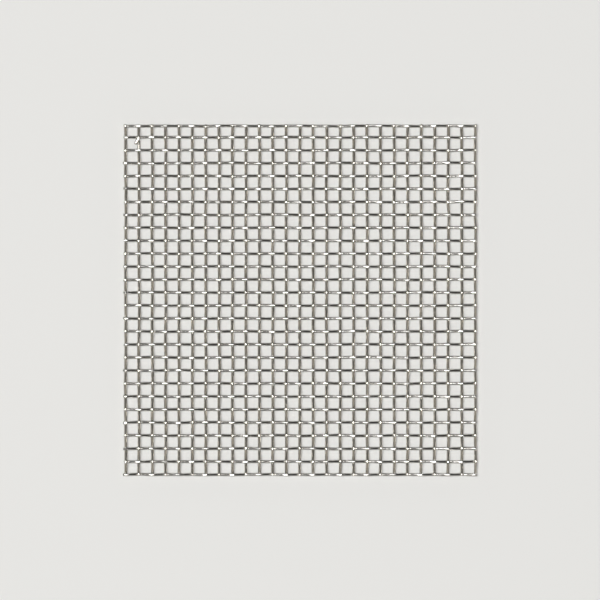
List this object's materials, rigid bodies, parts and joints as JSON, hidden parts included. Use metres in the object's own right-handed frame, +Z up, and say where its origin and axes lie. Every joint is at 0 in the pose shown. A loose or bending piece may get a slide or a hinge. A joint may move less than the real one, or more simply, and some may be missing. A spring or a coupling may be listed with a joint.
{
  "type": "wire gauze",
  "caption": "Square of plain-woven, crimped steel wire that lies on a laboratory tripod and carries a glass vessel over a burner.",
  "frame": {"origin": "under the middle of the square, in the plane that the lowest crowns of the wires rest on", "axes": "+Z up, square to the gauze; +X along the weft wires, to the right in the picture; +Y along the warp wires, up the picture"},
  "size_m": [0.0998, 0.0992, 0.0018],
  "materials": {
    "warp_wire": "bright drawn wire, faintly dulled",
    "weft_wire": "bright drawn wire, faintly dulled"
  },
  "bodies": {
    "root": {"warp_wire_01": "warp_wire", "warp_wire_02": "warp_wire", "warp_wire_02_broken_end": "warp_wire", "warp_wire_03": "warp_wire", "warp_wire_04": "warp_wire", "warp_wire_05": "warp_wire", "warp_wire_06": "warp_wire", "warp_wire_07": "warp_wire", "warp_wire_08": "warp_wire", "warp_wire_09": "warp_wire", "warp_wire_10": "warp_wire", "warp_wire_11": "warp_wire", "warp_wire_12": "warp_wire", "warp_wire_13": "warp_wire", "warp_wire_14": "warp_wire", "warp_wire_15": "warp_wire", "warp_wire_16": "warp_wire", "warp_wire_17": "warp_wire", "warp_wire_18": "warp_wire", "warp_wire_19": "warp_wire", "warp_wire_20": "warp_wire", "warp_wire_21": "warp_wire", "warp_wire_22": "warp_wire", "warp_wire_23": "warp_wire", "warp_wire_24": "warp_wire", "warp_wire_25": "warp_wire", "warp_wire_26": "warp_wire", "warp_wire_27": "warp_wire", "weft_wire_01": "weft_wire", "weft_wire_02": "weft_wire", "weft_wire_03": "weft_wire", "weft_wire_04": "weft_wire", "weft_wire_05": "weft_wire", "weft_wire_06": "weft_wire", "weft_wire_07": "weft_wire", "weft_wire_08": "weft_wire", "weft_wire_09": "weft_wire", "weft_wire_10": "weft_wire", "weft_wire_11": "weft_wire", "weft_wire_12": "weft_wire", "weft_wire_13": "weft_wire", "weft_wire_14": "weft_wire", "weft_wire_15": "weft_wire", "weft_wire_16": "weft_wire", "weft_wire_17": "weft_wire", "weft_wire_18": "weft_wire", "weft_wire_19": "weft_wire", "weft_wire_20": "weft_wire", "weft_wire_21": "weft_wire", "weft_wire_22": "weft_wire", "weft_wire_23": "weft_wire", "weft_wire_24": "weft_wire", "weft_wire_25": "weft_wire", "weft_wire_26": "weft_wire", "weft_wire_27": "weft_wire", "weft_wire_28": "weft_wire"}
  },
  "joints": []
}
